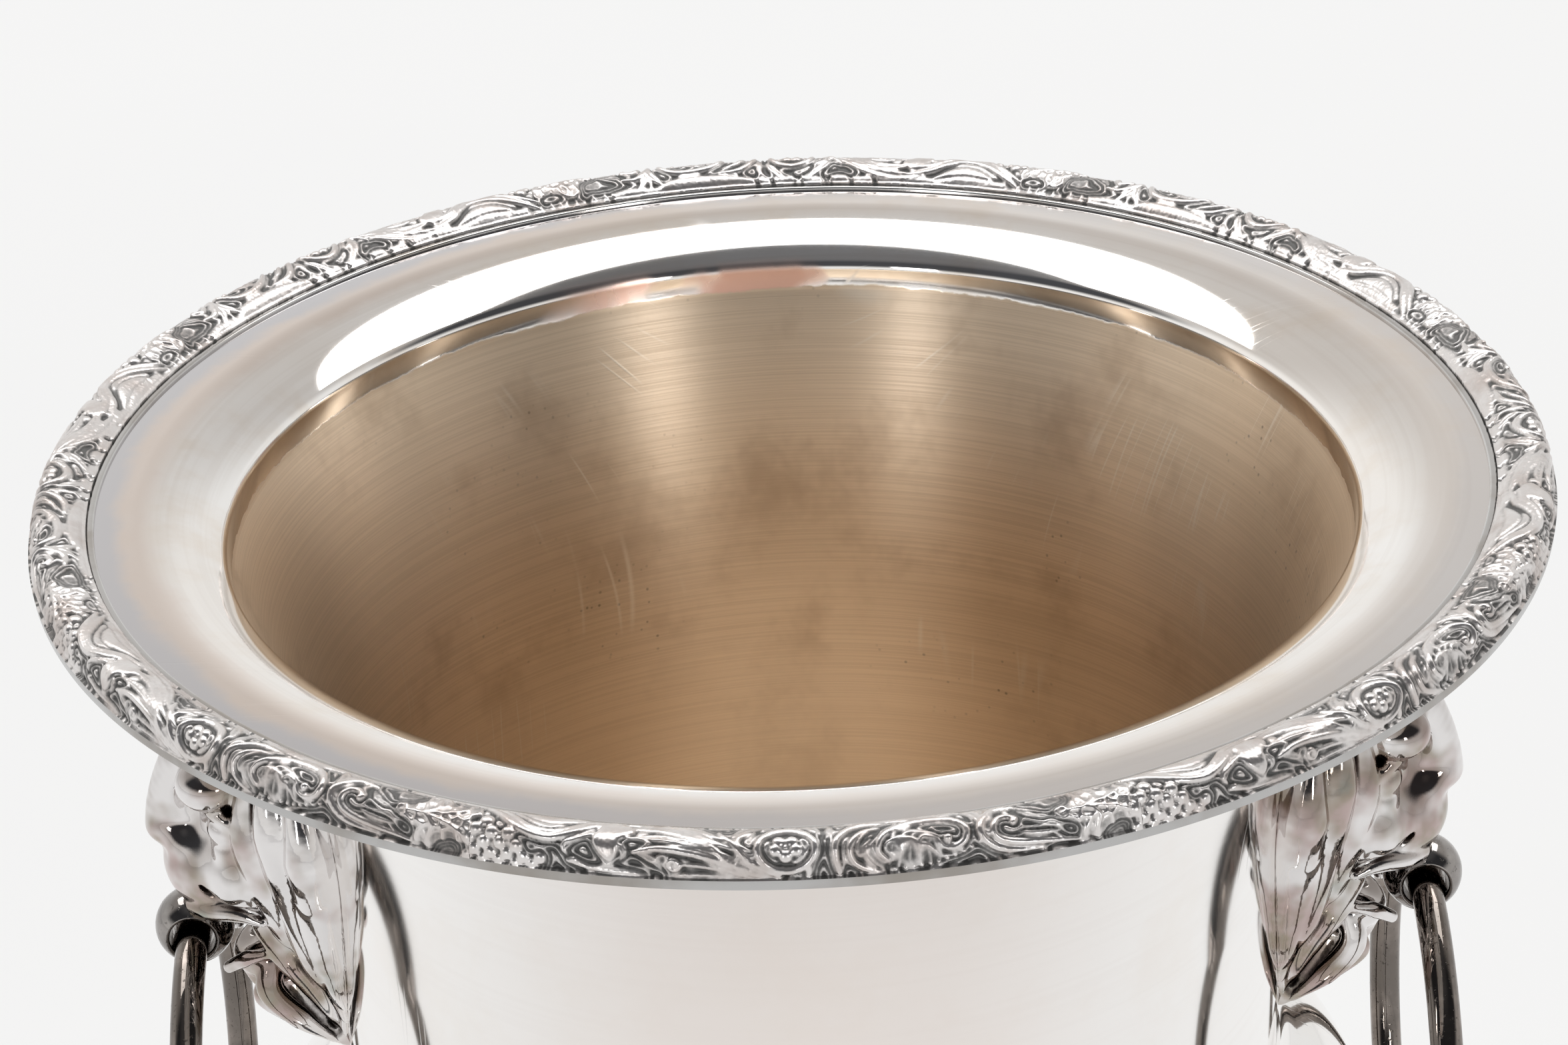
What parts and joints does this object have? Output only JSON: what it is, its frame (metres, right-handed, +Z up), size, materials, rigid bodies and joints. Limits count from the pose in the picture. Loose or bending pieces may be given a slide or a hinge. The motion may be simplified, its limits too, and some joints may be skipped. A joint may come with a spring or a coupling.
{
  "type": "champagne bucket",
  "caption": "Urn-shaped silver-plated champagne bucket on a pedestal foot, with a cast vine border on its flared rim and hanging ring handles on lion masks.",
  "frame": {"origin": "centre of the foot's flat underside, on the surface that the bucket stands on", "axes": "+Z up along the bucket's axis of revolution; the ring handles are on +X and -X"},
  "size_m": [0.27, 0.27, 0.2529],
  "materials": {
    "silver_plate": "polished silver plate on copper, lightly tarnished, satin inside",
    "oxidised_silver": "cast silver plate, bright on the relief and oxidised in the ground",
    "tarnished_silver": "polished cast silver plate with pink and green tarnish",
    "dark_silver": "polished bar, tarnished brown",
    "brass_fittings": "plain brass"
  },
  "bodies": {
    "bucket": {"bowl_shell": "silver_plate", "rim_edge_wire": "silver_plate", "border_step_wire": "oxidised_silver", "rim_border_1": "oxidised_silver", "rim_border_2": "oxidised_silver", "rim_border_3": "oxidised_silver", "rim_border_4": "oxidised_silver", "rim_border_5": "oxidised_silver", "rim_border_6": "oxidised_silver", "rim_border_7": "oxidised_silver", "rim_border_8": "oxidised_silver", "lion_mask_left": "tarnished_silver", "lion_mask_right": "tarnished_silver", "ring_boss_left": "dark_silver", "ring_boss_right": "dark_silver", "bowl_collar": "silver_plate", "stem_knop": "silver_plate", "foot_shell": "silver_plate", "foot_base_moulding": "silver_plate", "foot_stud": "brass_fittings", "foot_plate": "brass_fittings", "foot_washer": "brass_fittings", "foot_nut": "brass_fittings"},
    "left_handle_ring": {"ring_left": "dark_silver"},
    "right_handle_ring": {"ring_right": "dark_silver"}
  },
  "joints": [
    {"name": "left_ring_swing", "type": "hinge", "parent": "bucket", "child": "left_handle_ring", "pos_m": [-0.1155, 0, 0.1578], "axis": [0, 1, 0], "range_deg": [-7, 165]},
    {"name": "right_ring_swing", "type": "hinge", "parent": "bucket", "child": "right_handle_ring", "pos_m": [0.1155, 0, 0.1578], "axis": [0, -1, 0], "range_deg": [-7, 165]}
  ]
}
